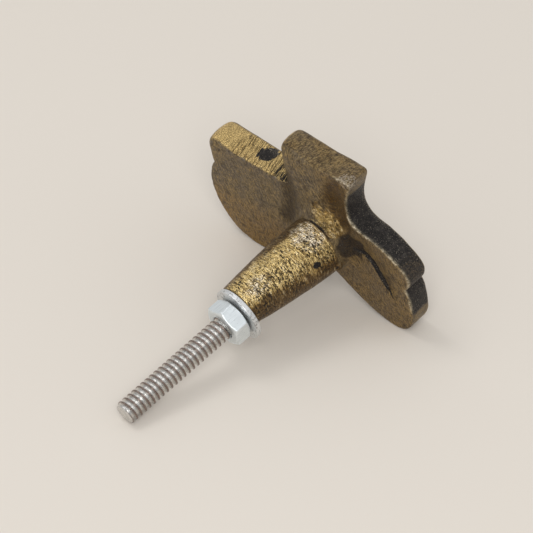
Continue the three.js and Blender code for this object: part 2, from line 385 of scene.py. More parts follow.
def bend(field, p, reach):
    """Positive on convex edges, negative in hollows, near 0 on flats."""
    middle = field(*p.T)
    total = -6.0 * middle
    for axis in range(3):
        step = np.zeros(3)
        step[axis] = reach
        total += field(*(p + step).T) + field(*(p - step).T)
    return total / reach


def settle(values):
    """Fills grid corners where two sheets of the surface would share an edge."""
    for axis in (0, 1, 2) * 3:
        turned = np.moveaxis(values, axis, 0)
        a, b = turned[:, :-1, :-1], turned[:, 1:, :-1]
        c, d = turned[:, :-1, 1:], turned[:, 1:, 1:]
        b[(a < 0) & (d < 0) & (b >= 0) & (c >= 0)] = JUST_INSIDE
        a[(a >= 0) & (d >= 0) & (b < 0) & (c < 0)] = JUST_INSIDE


def mesh_field(field, low, high, step):
    """Meshes a field's zero surface and pulls the vertices right onto it."""
    low = np.asarray(low, float)
    counts = np.ceil((np.asarray(high) - low) / step).astype(int) + 1
    axes = [low[n] + np.arange(counts[n]) * step for n in range(3)]
    values = field(axes[0][:, None, None], axes[1][None, :, None], axes[2][None, None, :])
    values = np.array(np.broadcast_to(values, tuple(counts)))
    settle(values)
    points, quads = surface_net(values, low, step)
    for _ in range(PULLS):
        g = gradient(field, points, step * 0.3)
        square = np.maximum((g * g).sum(1), 0.25)
        points -= np.clip(field(*points.T) / square, -step, step)[:, None] * g * PULL_SHARE
    return points, quads


def object_from(name, points, faces, matrix):
    """A smooth-shaded object from points in millimetres in a frame of the head."""
    points = np.asarray(points, float)
    placed = np.array(HEAD @ matrix)
    world = (points @ placed[:3, :3].T + placed[:3, 3]) * MM
    mesh = bpy.data.meshes.new(name)
    mesh.from_pydata(world.tolist(), [], faces)
    mesh.update()
    mesh.shade_smooth()
    obj = bpy.data.objects.new(name, mesh)
    bpy.context.scene.collection.objects.link(obj)
    return obj


def add_mask(obj, name, values):
    layer = obj.data.attributes.new(name, "FLOAT", "POINT")
    layer.data.foreach_set("value", np.clip(values, 0, 1).astype(np.float32))


# ------------------------------------------------------------------ the casting's shape

def head_outline():
    """The head from behind: lobe, right wing, arch under the stem, left wing."""
    top = (LOBE_TOP_LEFT + LOBE_TOP_RIGHT) / 2
    return path(((LOBE_LEFT + LOBE_RIGHT) / 2, top), [
        ((LOBE_RIGHT - 1.0, LOBE_TOP_RIGHT),),
        ((LOBE_RIGHT + 0.1, LOBE_TOP_RIGHT), (LOBE_RIGHT - 0.1, LOBE_TOP_RIGHT - 1.2)),
        ((6.3, 14.2), (5.5, 12.0), (5.9, 9.6)),
        ((6.4, 7.4), (7.9, 6.7), (9.7, 6.4)),
        ((12.6, 5.9), (15.2, 4.6), (17.0, 3.0)),
        ((18.9, 1.4), (18.2, -0.5)),
        ((17.8, -1.2), (17.4, -1.8)),
        ((18.3, -3.4), (18.6, -6.4), (18.4, -8.6)),
        ((18.1, -10.8), (17.0, -12.5), (14.9, HEAD_BOTTOM)),
        ((11.6, -13.0), (7.6, -11.2), (4.2, -9.0)),
        ((1.2, -6.6), (-4.6, -6.2), (-7.6, -8.4)),
        ((-10.4, -10.6), (-13.0, -12.6), (-16.6, HEAD_BOTTOM)),
        ((-21.4, -12.9), (-24.8, -9.6), (-26.0, -5.6)),
        ((-26.9, -2.6), (-26.7, 0.8), (-25.2, 3.0)),
        ((-25.6, 4.4), (-25.6, 5.0), (-25.8, 6.4)),
        ((-26.0, LEFT_WING_TOP), (-24.2, LEFT_WING_TOP)),
        ((LOBE_LEFT + 0.1, LEFT_WING_TOP),),
        ((LOBE_LEFT, LOBE_TOP_LEFT - 0.9),),
        ((LOBE_LEFT, LOBE_TOP_LEFT), (LOBE_LEFT + 0.9, LOBE_TOP_LEFT)),
    ])


OUTLINE = head_outline()
CREASE = path((6.2, 1.7), [
    ((7.4, 1.8), (9.2, 1.5), (10.5, -0.1)),
    ((11.7, -1.7), (12.5, -3.9), (14.7, -5.9)),
], 10)
VALLEY = path((-7.6, 10.6), [((-7.0, 6.6), (-6.6, 3.6), (-8.6, -0.4))], 10)


def wobble(x, z):
    """Sideways wander of the crease, so that it reads as a tear in the casting."""
    return 0.12 * np.sin(1.7 * x + 1.1 * z) + 0.05 * np.sin(4.3 * x - 2.9 * z)


def crease_parts(x, z):
    """Distance from the crease, how far along it, and the same distance signed by its side."""
    distance, along, side = line_distance(x, z, CREASE)
    return distance, along, np.where(side > 0, distance, -distance)


def relief(x, z):
    """How far the back of the head stands proud of its plane, over (x, z)."""
    _, along, signed = crease_parts(x, z)
    fade = ramp(along, 0.0, 2.0) * (1 - ramp(along, 8.0, 12.5))
    strip = -CREASE_STEP * fade * ramp(signed, -0.15, 0.4) * (1 - ramp(signed, 0.4, 4.6))
    width = 0.22 + 0.25 * (1 - ramp(along, 0.0, 3.5))
    strip = strip - CREASE_DEPTH * fade * np.exp(-((signed + wobble(x, z)) / width) ** 2)
    over = (x - SCOOP_PLACE[0]) / SCOOP_SIZE[0]
    up = (z - SCOOP_PLACE[1]) / SCOOP_SIZE[1]
    scoop = -SCOOP_DEPTH * (1 - ramp(np.sqrt(over ** 2 + up ** 2), 0.0, 1.0))
    valley = line_distance(x, z, VALLEY)[0]
    groove = -VALLEY_DEPTH * (1 - ramp(valley, 0.0, VALLEY_REACH))
    lobe = LOBE_RISE * ramp(x, -8.2, -6.6) * ramp(z, 6.0, 9.0)
    return strip + scoop + groove + lobe


def stem_parts(x, y, z):
    """Distance along the stem from the back of the head, from its axis, and the way round it."""
    along = x * STEM_AXIS[0] + y * STEM_AXIS[1] + z * STEM_AXIS[2]
    ox, oy, oz = (v - along * a for v, a in zip((x, y, z), STEM_AXIS))
    away = np.sqrt(ox * ox + oy * oy + oz * oz)
    return along, away, np.arctan2(ox, oz)


def stem_radius(along):
    """Radius of the plain stem, swelling from its end to its root."""
    left = np.clip((along - COLLAR_HEIGHT) / (STEM_LENGTH - COLLAR_HEIGHT), 0, 1.1)
    return STEM_END_RADIUS + (STEM_ROOT_RADIUS - STEM_END_RADIUS) * (1 - left ** STEM_SWELL)


def stem_point(along, way):
    """A point on the stem's surface, so far along it and so many degrees round from the top."""
    up = np.array([0, 0, 1.0]) - STEM_AXIS[2] * STEM_AXIS
    up /= np.linalg.norm(up)
    side = np.cross(STEM_AXIS, up)
    side *= np.sign(side[0])
    way = math.radians(way)
    return along * STEM_AXIS + stem_radius(along) * (math.cos(way) * up + math.sin(way) * side)


LUMP = stem_point(2.2, 104)


def root_radius(along, way):
    """Radius of the stem near the head: a plain fillet, but a lip, groove and hump on its top."""
    rise = np.clip((along + 1.4) / 3.4, 0, 1)
    plain_root = stem_radius(along) + 2.6 * (1 - np.sqrt(1 - (1 - rise) ** 2))
    hump = 4.9 + (FLARE_RADIUS + 1.3 - 4.9) * (1 - ramp(along, -1.6, 1.5))
    lipped = hump + (stem_radius(along) - hump) * ramp(along, 1.75, 2.1)
    way = np.degrees(way)
    window = ramp(way, -44, -24) * (1 - ramp(way, 34, 50))
    return plain_root + (lipped - plain_root) * window


def stem_field(x, y, z):
    """The stem with its root, a small lump beside it, and its flat end square to the stud."""
    along, away, way = stem_parts(x, y, z)
    low = np.maximum((away - root_radius(along, way)) * 0.8, -2.5 - along)
    lump = np.sqrt((x - LUMP[0]) ** 2 + (y - LUMP[1]) ** 2 + (z - LUMP[2]) ** 2) - 0.75
    low = smooth_min(low, lump, 0.5)
    seat = (
        (x - STUD_SEAT[0]) * STUD_AXIS[0]
        + (y - STUD_SEAT[1]) * STUD_AXIS[1]
        + (z - STUD_SEAT[2]) * STUD_AXIS[2]
    )
    return smooth_max(low, seat, 0.25)


def hole_field(x, y, z):
    """The blind bore in the stem's end that the stud is set in."""
    dx, dy, dz = x - STUD_SEAT[0], y - STUD_SEAT[1], z - STUD_SEAT[2]
    along = dx * STUD_AXIS[0] + dy * STUD_AXIS[1] + dz * STUD_AXIS[2]
    away = np.sqrt(np.maximum(dx * dx + dy * dy + dz * dz - along * along, 0))
    return np.maximum(away - HOLE_RADIUS, -HOLE_DEPTH - along)


def worn_corner(x, z, place):
    """How worn the outline is round a corner: its share at (x, z), 0 beyond its reach."""
    at_x, at_z, reach, share = place
    return share * (1 - ramp(np.sqrt((x - at_x) ** 2 + (z - at_z) ** 2), 1.0, reach))


def cast_field(x, y, z):
    """The whole casting: negative inside it, and near the distance to its surface."""
    worn = worn_corner(x, z, WORN_LOBE) + worn_corner(x, z, WORN_WING)
    belly = worn * (0.35 + 0.6 * np.clip(1 - ((y - 2.9) / 2.9) ** 2, 0, 1))
    edge = polygon_distance(x, z, OUTLINE) - belly
    back = -y - relief(x, z)
    front = y - HEAD_THICKNESS + FRONT_TAPER * x
    slab = smooth_max(smooth_max(edge, back, 0.35 + 1.0 * worn), front, 0.9 + 0.4 * worn)
    body = smooth_min(slab, stem_field(x, y, z), 0.9)
    return np.maximum(body, -hole_field(x, y, z))


def unit_rows(v):
    return v / np.maximum(np.linalg.norm(v, axis=1), 1e-9)[:, None]


def ball(p, centre, radii):
    """1 at the centre of an ellipsoid, 0 at its surface."""
    q = (p - np.asarray(centre, float)) / np.asarray(radii, float)
    return np.clip(1 - np.sqrt((q * q).sum(1)), 0, 1)


class Surface:
    """Points on the casting, with what its masks need to know about them."""

    def __init__(self, p):
        self.p = p
        self.x, self.y, self.z = p.T
        self.n = unit_rows(gradient(cast_field, p, NORMAL_REACH))
        self.curve = bend(cast_field, p, 0.3)
        self.along, self.away, way = stem_parts(self.x, self.y, self.z)
        self.way = np.degrees(way)
        self.rough = noise(p, 1.1, 1) * 0.6 + noise(p, 0.5, 2) * 0.4
        self.broad = noise(p, 3.2, 3) * 0.7 + noise(p, 1.4, 4) * 0.3
        self.crease, self.run, self.signed = crease_parts(self.x, self.z)


def stem_masks(s):
    """The stem, the rough hump at its root, and the groove between them."""
    stem = ramp(s.along, 1.9, 2.5) * (s.away < 7.0)
    hump = ramp(s.along, -0.9, -0.2) * (1 - ramp(s.along, 1.25, 1.6)) * ramp(s.way, -26, -8)
    hump *= (1 - ramp(s.way, 38, 52)) * (1 - ramp(s.away + 0.7 * s.rough, 7.6, 9.2)) * (s.y < 0.5)
    # Painted shade in the groove between the stem and the hump.
    groove = np.exp(-((s.along - 1.55) / 0.2) ** 2) * (s.away < 5.7)
    groove = groove * ramp(s.way, -30, -14) * (1 - ramp(s.way + 8 * s.rough, 22, 38))
    return stem, hump, groove


def wall_masks(s):
    """The walls round the outline, and of these the left wing's top and the lobe's top."""
    wall = (1 - ramp(np.abs(s.n[:, 1]), 0.35, 0.65)) * ramp(s.away, 6.6, 8.0)
    wing_top = wall * ramp(s.n[:, 2], 0.6, 0.85) * ramp(-s.x, 8.0, 8.5)
    lobe_top = wall * ramp(s.n[:, 2], 0.5, 0.8) * ramp(s.z, 15.5, 16.5)
    return wall, wing_top, lobe_top


def rim_masks(s):
    """Nicks along the filed wing's rear edge, and the right wing's rear edge: worn bright, with a
    painted silvery highlight.
    """
    to_outline = polygon_distance(s.x, s.z, OUTLINE)
    rim = np.exp(-(to_outline ** 2 + (s.y + relief(s.x, s.z)) ** 2) / 0.3 ** 2)
    nick = rim ** 0.5 * ramp(-s.x, 8.0, 8.6) * ramp(s.z, 6.0, 7.5)
    nick = nick * ramp(s.rough + 0.6 * s.broad, 0.05, 0.3)
    rim *= ramp(s.x, 3.0, 5.0) * ramp(s.z, -8.0, -5.0) * np.clip(0.6 + 0.9 * s.rough, 0, 1)
    return rim, nick


def black_mask(s, walls, back, root, groove):
    """Black: casting skin on the right-hand walls, a spot on the wing and a pit in the stem, and painted
    shade along the crease, round the root and in the groove at the stem.
    """
    wall, wing_top, lobe_top = walls
    right_wall = wall * ramp(s.x, 2.0, 4.0) * (1 - lobe_top) * ramp(s.z, -8.4, -6.2)
    right_wall *= 1 - ramp(s.z + 0.8 * s.broad, 13.2, 15.0)
    worn_end = ramp(s.x, 13.5, 17.5) * ramp(s.z, -2.0, -0.6)
    spot = ball(s.p, *SPOT) + 0.4 * s.rough
    fringe = 0.12 * np.sin(9.0 * s.x + 2.0 * s.y) * ramp(-s.x, 14.5, 16.5)
    # Painted shade and dark patina along the crease.
    width = 0.2 + 0.28 * (1 - ramp(s.run, 0.0, 3.5))
    seam = np.exp(-((s.signed + wobble(s.x, s.z)) / width) ** 2) * ramp(s.run, -0.2, 0.5)
    seam *= (1 - ramp(s.run, 10.5, 13.5)) * ramp(s.rough + 0.9, 0.1, 0.5)
    pit = ball(s.p, stem_point(6.1, 66), (1.0, 1.2, 1.0)) + 0.45 * s.rough
    return np.maximum.reduce([
        right_wall * (1 - 0.45 * worn_end),
        wing_top * ramp(spot + fringe, 0.2, 0.45),
        back * seam,
        0.42 * root,
        0.9 * ramp(pit, 0.2, 0.6),
        0.8 * groove,
    ])


def bare_mask(s, stem, hump):
    """Where the stem's top is worn down to bright metal and painted lighter as a highlight, and where
    the hump is worn bright.
    """
    # Painted highlight along the stem's top, over the worn band.
    top = 1 - ramp(np.abs(s.way - 14 - 1.2 * (17 - s.along)), 26, 62 + 20 * s.broad)
    return np.maximum(stem * np.clip(top + 0.25 * s.rough, 0, 1), 0.6 * hump)


def glint_mask(s, stem):
    """Painted silvery highlights on scraped patches of the stem, near its root and near its end."""
    near_root = stem * ball(s.p, stem_point(4.2, 10), (3.6, 3.2, 3.6))
    near_end = 0.35 * stem * ball(s.p, stem_point(16.8, 26), (2.0, 3.2, 2.0))
    return np.maximum(near_root, near_end)


def warm_mask(s, back, lobe_top):
    """Browner patina: low on the left of the back, on its right, and on the lobe's top."""
    low_left = ramp(-s.z + s.broad, -1.0, 8.0) * (s.x < -4)
    return np.maximum(back * (low_left + 0.45 * ramp(s.x, -1.5, 2.5)), 0.55 * lobe_top)


def rub_mask(s):
    """Rubbed edges, but not beside the crease or round the stem's root."""
    rub = ramp(s.curve, 0.5, 1.5) * (1 - ramp(2.0 - s.crease, 0, 1.5))
    return rub * (1 - ramp(10.5 - s.away, 0, 1.5) * (s.along < 1.9) * (np.abs(s.n[:, 1]) > 0.2))


def cast_masks(p):
    """Where the casting's skins and wear are, and where shade and highlights are painted, as values from
    0 to 1 at points on its surface.
    """
    s = Surface(p)
    stem, hump, groove = stem_masks(s)
    walls = wall_masks(s)
    wall, wing_top, lobe_top = walls
    back = ramp(-s.n[:, 1], 0.5, 0.75) * (1 - stem)
    rim, nick = rim_masks(s)
    # Painted shade round the stem's root, where it meets the back of the head.
    root = ramp(ball(s.p, *PAINTED_ROOT_SHADE) + 0.28 * s.rough + 0.12 * s.broad, 0.06, 0.36)
    # Painted shade along the valley.
    valley = line_distance(s.x, s.z, VALLEY)[0]
    shade = back * (1 - ramp(valley + 0.6 * s.broad, 0.3, 2.6)) * 0.75
    # Painted shade in the scoop's hollow.
    scoop = ball(s.p, *PAINTED_SCOOP_SHADE) + 0.08 * s.rough
    scuff = ball(s.p, *SCUFF) + 0.22 * s.rough
    return {
        "wall": wall,
        "filed": wing_top,
        "black": black_mask(s, walls, back, root, groove),
        "bare": bare_mask(s, stem, hump),
        "warm": warm_mask(s, back, lobe_top),
        "rub": rub_mask(s),
        # Patina in the hollows, with painted shade along the valley and round the stem's root.
        "patina_and_shade": np.maximum.reduce([ramp(-s.curve, 0.25, 1.1), shade, root]),
        "stem": stem,
        "grain": lobe_top,
        # painted sheen on the lobe's worn back-right corner
        "worn_sheen": ball(s.p, *WORN_SHEEN_CORNER) * 2.2,
        "back": back,
        "hump": hump,
        "rim": rim,
        "front": ramp(s.y, 3.2, 5.0),
        "scuff": wing_top * ramp(scuff, 0.05, 0.35),
        "scoop": back * ramp(scoop, 0.0, 0.4),
        "glint": glint_mask(s, stem),
        "nick": nick,
        "lines": ramp(s.x + 1.5 * s.broad, -23.0, -19.5),
    }


def roughen(p, masks):
    """Casting lumps, pits on the stem, nicks along the edges and scrapes, as real shape."""
    n = unit_rows(gradient(cast_field, p, NORMAL_REACH))
    soft = 1 - np.maximum(masks["filed"], 0.3 * masks["wall"])
    lift = soft * (0.075 * noise(p, 3.4, 21) + 0.035 * noise(p, 1.5, 22) + 0.014 * noise(p, 0.7, 23))
    pits = ramp(noise(p, 0.75, 24) + 0.35 * noise(p, 0.42, 25), 0.42, 0.72)
    lift -= 0.07 * pits * masks["stem"] * masks["bare"]
    swirl = 1 - 2 * np.abs(noise(p, 0.85, 26))
    lift += masks["hump"] * (0.2 * swirl + 0.16 * noise(p, 0.5, 27) - 0.05)
    lift += 0.1 * ramp(masks["glint"], 0.0, 0.4) * (1 - 2 * np.abs(noise(p, 0.9, 30)))
    nick = ramp(noise(p, 1.3, 28) + 0.5 * noise(p, 0.6, 29), 0.05, 0.7)
    lift -= 0.16 * masks["rub"] * nick * (1 - 0.7 * masks["stem"])
    lift -= 0.05 * masks["black"] * (1 - masks["wall"]) * masks["filed"]
    return p + n * lift[:, None]


def build_casting():
    points, quads = mesh_field(cast_field, CAST_LOW, CAST_HIGH, CAST_STEP)
    masks = cast_masks(points)
    obj = object_from("knob_body", roughen(points, masks), quads.tolist(), Matrix.Identity(4))
    for name, values in masks.items():
        if name not in ("wall", "hump"):
            add_mask(obj, name, values)
    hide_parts("knob_casting")
    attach(obj, "knob")
    obj.data.materials.append(brass_material())


# ------------------------------------------------------------------ hardware

def thread_radius(phase):
    """Radius of the stud's thread over one turn of phase: narrow crest, wide rounded root."""
    from_crest = np.abs((phase + 0.5) % 1.0 - 0.5) * 2.0
    flank = ramp(from_crest, 0.16, 0.78)
    return THREAD_MAJOR - (THREAD_MAJOR - THREAD_MINOR) * flank


def stud_rings(turn):
    """The stud's outline from its buried end to its dimpled tip, as (radii round it, z) pairs."""
    start, end = -STUD_BURIED, STUD_LENGTH
    shank = [(STUD_SHANK - 0.3, start), (STUD_SHANK, start + 0.2), (STUD_SHANK, -0.9)]
    tip = [
        (STUD_TIP, end), (STUD_TIP - 0.12, end - 0.01), (1.0, end - 0.14), (0.5, end - TIP_DIMPLE),
    ]
    height = np.arange(-0.6, end + 1e-6, THREAD_PITCH / 24)
    radius = thread_radius(height[:, None] / THREAD_PITCH - turn[None, :])
    radius = np.minimum(radius, THREAD_MINOR + 0.75 * np.sqrt(end + 1e-6 - height)[:, None])
    rings = [(np.full(len(turn), r), z) for r, z in shank]
    rings += list(zip(radius, height))
    return rings + [(np.full(len(turn), r), z) for r, z in tip]


def stud_mesh(around=96):
    """The stud as one closed skin: a plain shank in the stem, then thread up to a flat tip."""
    turn = np.arange(around) / around
    rings = stud_rings(turn)
    angle = 2 * math.pi * turn
    points = [np.stack([r * np.cos(angle), r * np.sin(angle), np.full(around, z)], -1) for r, z in rings]
    points = np.concatenate(points + [[(0, 0, -STUD_BURIED), (0, 0, STUD_LENGTH - TIP_DIMPLE)]])
    faces = []
    for row in range(len(rings) - 1):
        for i in range(around):
            a, b = row * around + i, row * around + (i + 1) % around
            faces.append((a, b, b + around, a + around))
    top = (len(rings) - 1) * around
    for i in range(around):
        j = (i + 1) % around
        faces.append((j, i, len(points) - 2))
        faces.append((top + i, top + j, len(points) - 1))
    return points, faces


def ring_mesh(profile, segments):
    """A surface of revolution about Z from a closed profile of (radius, z) pairs."""
    profile = np.asarray(profile, float)
    angle = 2 * math.pi * np.arange(segments) / segments
    points = np.stack([
        profile[:, None, 0] * np.cos(angle),
        profile[:, None, 0] * np.sin(angle),
        np.repeat(profile[:, None, 1], segments, 1),
    ], -1).reshape(-1, 3)
    faces = []
    for row in range(len(profile)):
        here, there = row * segments, (row + 1) % len(profile) * segments
        for i in range(segments):
            j = (i + 1) % segments
            faces.append((here + i, here + j, there + j, there + i))
    return points, faces


def washer_profile():
    """The washer's section: rounded corners, each between two supporting vertices."""
    low, high = SEAT_GAP, SEAT_GAP + WASHER_THICKNESS
    held = WASHER_EDGE + WASHER_SUPPORT
    profile = []
    for radius, level, way in (
        (WASHER_RADIUS, low, -45), (WASHER_RADIUS, high, 45),
        (WASHER_HOLE, high, 135), (WASHER_HOLE, low, 225),
    ):
        side = math.copysign(1, math.cos(math.radians(way)))
        lift = math.copysign(1, math.sin(math.radians(way)))
        centre = (radius - side * WASHER_EDGE, level - lift * WASHER_EDGE)
        corner = []
        for turn in (-45, -22, 0, 22, 45):
            angle = math.radians(way + turn)
            corner.append((
                centre[0] + WASHER_EDGE * math.cos(angle), centre[1] + WASHER_EDGE * math.sin(angle)
            ))
        along_face = (radius - side * held, level)
        along_wall = (radius, level - lift * held)
        ends = (along_wall, along_face) if side == lift else (along_face, along_wall)
        profile += [ends[0], *corner, ends[1]]
    return profile


def nut_field(x, y, z):
    """The nut about the stud's axis: six flats, chamfered ends and a threaded bore."""
    low = 2 * SEAT_GAP + WASHER_THICKNESS
    high = low + NUT_THICKNESS
    flats = None
    for n in range(6):
        turn = math.radians(NUT_TURN + 60 * n)
        side = x * math.cos(turn) + y * math.sin(turn) - NUT_FLATS / 2
        flats = side if flats is None else smooth_max(flats, side, 0.1)
    away = np.sqrt(x * x + y * y)
    slope = math.tan(math.radians(NUT_CHAMFER))
    square = math.cos(math.radians(NUT_CHAMFER))
    cone_top = (z - high + (away - NUT_CHAMFER_START) * slope) * square
    cone_low = (low - z + (away - NUT_CHAMFER_START) * slope) * square
    body = smooth_max(flats, smooth_max(z - high, low - z, 0.05), 0.12)
    body = smooth_max(body, smooth_max(cone_top, cone_low, 0.05), 0.1)
    phase = z / THREAD_PITCH - np.arctan2(y, x) / (2 * math.pi)
    mouth = np.maximum(z - high, low - z) + NUT_MOUTH + THREAD_MINOR + THREAD_PLAY
    bore = np.maximum(thread_radius(phase) + THREAD_PLAY, mouth)
    return smooth_max(body, (bore - away) * 0.8, 0.05)


def build_stud():
    points, faces = stud_mesh()
    stud = object_from("stud_thread", points, faces, STUD)
    radius = np.hypot(points[:, 0], points[:, 1])
    add_mask(stud, "crest", (radius - THREAD_MINOR) / (THREAD_MAJOR - THREAD_MINOR))
    stud.data.materials.append(steel_material())
    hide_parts("threaded_stud")
    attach(stud, "knob")


def build_washer():
    points, faces = ring_mesh(washer_profile(), 128)
    washer = object_from("washer_disc", points, faces, STUD)
    washer.data.materials.append(washer_material())
    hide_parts("flat_washer")
    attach(washer, "washer")


def build_nut():
    points, quads = mesh_field(nut_field, NUT_LOW, NUT_HIGH, NUT_STEP)
    nut = object_from("nut_hex", points, quads.tolist(), STUD)
    nut.data.materials.append(nut_material())
    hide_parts("hex_nut")
    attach(nut, "nut")


# ------------------------------------------------------------------ materials

class Shade:
    """A short way to write a node material: every method returns an output socket."""

    def __init__(self, name, matrix=None):
        self.material = bpy.data.materials.new(name)
        self.material.use_nodes = True
        self.tree = self.material.node_tree
        self.shader = self.tree.nodes["Principled BSDF"]
        self.place = self.tree.nodes.new("ShaderNodeTexCoord").outputs["Object"]
        self.mm = self.frame(matrix or HEAD)

    def put(self, value, socket):
        if isinstance(value, bpy.types.NodeSocket):
            self.tree.links.new(value, socket)
        elif isinstance(value, tuple) and len(value) == 3 and socket.type == "RGBA":
            socket.default_value = (*value, 1)
        else:
            socket.default_value = value

    def node(self, kind, **inputs):
        node = self.tree.nodes.new(kind)
        for name, value in inputs.items():
            self.put(value, node.inputs[name.replace("_", " ")])
        return node

    def frame(self, matrix):
        """Object coordinates in millimetres, in a frame given inside the part's."""
        back = matrix.inverted()
        node = self.tree.nodes.new("ShaderNodeMapping")
        self.put(self.place, node.inputs["Vector"])
        node.inputs["Scale"].default_value = (1 / MM,) * 3
        node.inputs["Rotation"].default_value = back.to_euler()
        node.inputs["Location"].default_value = back.translation
        return node.outputs["Vector"]

    def stretch(self, vector, scale, turn=(0, 0, 0)):
        turned = self.node("ShaderNodeMapping", Vector=vector, Rotation=turn)
        return self.node(
            "ShaderNodeMapping", Vector=turned.outputs["Vector"], Scale=scale
        ).outputs["Vector"]

    def mask(self, name):
        node = self.tree.nodes.new("ShaderNodeAttribute")
        node.attribute_name = name
        return node.outputs["Fac"]

    def noise(self, vector, scale, detail=3.0, rough=0.55):
        node = self.node(
            "ShaderNodeTexNoise", Vector=vector, Scale=scale, Detail=detail, Roughness=rough
        )
        return node.outputs["Fac"]

    def span(self, value, low, high, to_low=0.0, to_high=1.0):
        node = self.tree.nodes.new("ShaderNodeMapRange")
        node.interpolation_type = "SMOOTHSTEP"
        for slot, v in zip(range(5), (value, low, high, to_low, to_high)):
            self.put(v, node.inputs[slot])
        return node.outputs["Result"]

    def calc(self, kind, a, b=0.0, clamp=False):
        node = self.tree.nodes.new("ShaderNodeMath")
        node.operation = kind
        node.use_clamp = clamp
        self.put(a, node.inputs[0])
        self.put(b, node.inputs[1])
        return node.outputs[0]

    def times(self, *values):
        total = values[0]
        for value in values[1:]:
            total = self.calc("MULTIPLY", total, value)
        return total

    def plus(self, a, b, clamp=False):
        return self.calc("ADD", a, b, clamp)

    def mix(self, share, a, b):
        node = self.tree.nodes.new("ShaderNodeMix")
        node.data_type = "RGBA"
        self.put(share, node.inputs[0])
        self.put(a, node.inputs[6])
        self.put(b, node.inputs[7])
        return node.outputs[2]

    def blend(self, share, a, b):
        node = self.tree.nodes.new("ShaderNodeMix")
        self.put(share, node.inputs[0])
        self.put(a, node.inputs[2])
        self.put(b, node.inputs[3])
        return node.outputs[0]

    def bump(self, height, distance, strength=1.0, normal=None):
        node = self.node("ShaderNodeBump", Height=height, Distance=distance, Strength=strength)
        if normal is not None:
            self.put(normal, node.inputs["Normal"])
        return node.outputs["Normal"]

    def finish(self, **inputs):
        for name, value in inputs.items():
            self.put(value, self.shader.inputs[name.replace("_", " ")])
        return self.material


def plain(name, colour, metallic, roughness):
    """A material of one colour."""
    return Shade(name).finish(Base_Color=colour, Metallic=metallic, Roughness=roughness)


FLOOR_PAPER = (0.74, 0.685, 0.615)
PATINA_OLIVE = (0.250, 0.184, 0.096)
PATINA_GREY = (0.195, 0.152, 0.102)
PATINA_BROWN = (0.300, 0.182, 0.064)
DEEP_BROWN = (0.045, 0.030, 0.018)
FLANK_BROWN = (0.165, 0.100, 0.038)
OLD_BRASS = (0.36, 0.22, 0.065)
HIGHLIT_BARE_BRASS = (0.80, 0.59, 0.25)
FLECK_BRASS = (0.64, 0.44, 0.155)
RUBBED_BRASS = (0.92, 0.79, 0.52)
# Painted highlight colour, for the glints on the stem and along the right wing's rear edge
GLINT_SILVER = (0.95, 0.84, 0.66)
SCOOP_SHADE_BROWN = (0.150, 0.080, 0.020)
FILED_BRASS = (0.74, 0.53, 0.225)
SKIN_BLACK = (0.024, 0.021, 0.020)
SKIN_SPECK = (0.30, 0.26, 0.20)
SKIN_GREY = (0.085, 0.075, 0.065)
GRAIN_BRASS = (0.42, 0.31, 0.14)
FILE_BROWN = (0.10, 0.066, 0.028)
NICK_GREY = (0.20, 0.175, 0.15)
WORN_SHEEN_GREY = (0.62, 0.56, 0.48)
BRASS_BUMP = 0.00034           # metres
PIT_BUMP = 0.00016


def brass_textures(s):
    """The noises that the brass is mixed from, kept on the shade."""
    mm = s.mm
    s.cloud = s.noise(mm, 0.22, 4.0)
    s.mottle = s.noise(mm, 0.9, 5.0, 0.6)
    s.grit = s.noise(mm, 3.2, 4.0, 0.65)
    s.fine = s.noise(mm, 4.8, 2.0, 0.7)
    s.along = s.frame(HEAD @ frame_matrix(*stem_axes(), (0, 0, 0)))
    s.rings = s.noise(s.stretch(s.along, (0.6, 0.6, 4.4)), 1.0, 3.0, 0.62)
    s.strokes = s.noise(s.stretch(mm, (5.0, 0.35, 0.8), (0, 0, math.radians(-14))), 1.0, 3.0, 0.6)
    s.brush = s.noise(s.stretch(mm, (3.8, 1.2, 0.9), (0, math.radians(24), 0)), 1.0, 3.0, 0.7)
    s.grain = s.noise(s.stretch(mm, (6.0, 1.6, 2.5), (0, 0, math.radians(20))), 1.0, 3.0, 0.7)


def patina_colour(s):
    """The brown patina of the head, with its brush lines and grain, darker patina in its hollows, and
    painted shade in the scoop, along the valley and round the stem's root.
    """
    patina = s.mix(s.span(s.cloud, 0.4, 0.62), PATINA_GREY, PATINA_OLIVE)
    warm = s.times(s.mask("warm"), s.span(s.cloud, 0.3, 0.6, 0.45, 1.0))
    patina = s.mix(warm, patina, PATINA_BROWN)
    patina = s.mix(s.span(s.mottle, 0.50, 0.66, 0.0, 0.6), patina, DEEP_BROWN)
    patina = s.mix(s.span(s.grit, 0.52, 0.66, 0.0, 0.32), patina, FLECK_BRASS)
    patina = s.mix(s.span(s.grit, 0.38, 0.50, 0.7, 0.0), patina, DEEP_BROWN)
    back, grain = s.mask("back"), s.mask("grain")
    patina = s.mix(s.times(back, s.span(s.brush, 0.5, 0.66, 0.0, 0.3)), patina, FLECK_BRASS)
    patina = s.mix(s.times(back, s.span(s.brush, 0.36, 0.5, 0.65, 0.0)), patina, DEEP_BROWN)
    patina = s.mix(s.times(grain, s.span(s.grain, 0.50, 0.64), 0.7), patina, GRAIN_BRASS)
    patina = s.mix(s.times(grain, s.span(s.grain, 0.38, 0.52, 0.65, 0.0)), patina, DEEP_BROWN)
    # Painted shade in the scoop's hollow, dark brown flecked with paler brown.
    scoop = s.times(s.mask("scoop"), s.span(s.mottle, 0.35, 0.6, 1.0, 0.6))
    patina = s.mix(scoop, patina, s.mix(s.span(s.grit, 0.4, 0.62), DEEP_BROWN, SCOOP_SHADE_BROWN))
    # Darker in the hollows: patina there, and painted shade along the valley and round the root.
    return s.mix(s.times(s.mask("patina_and_shade"), 0.85), patina, DEEP_BROWN)


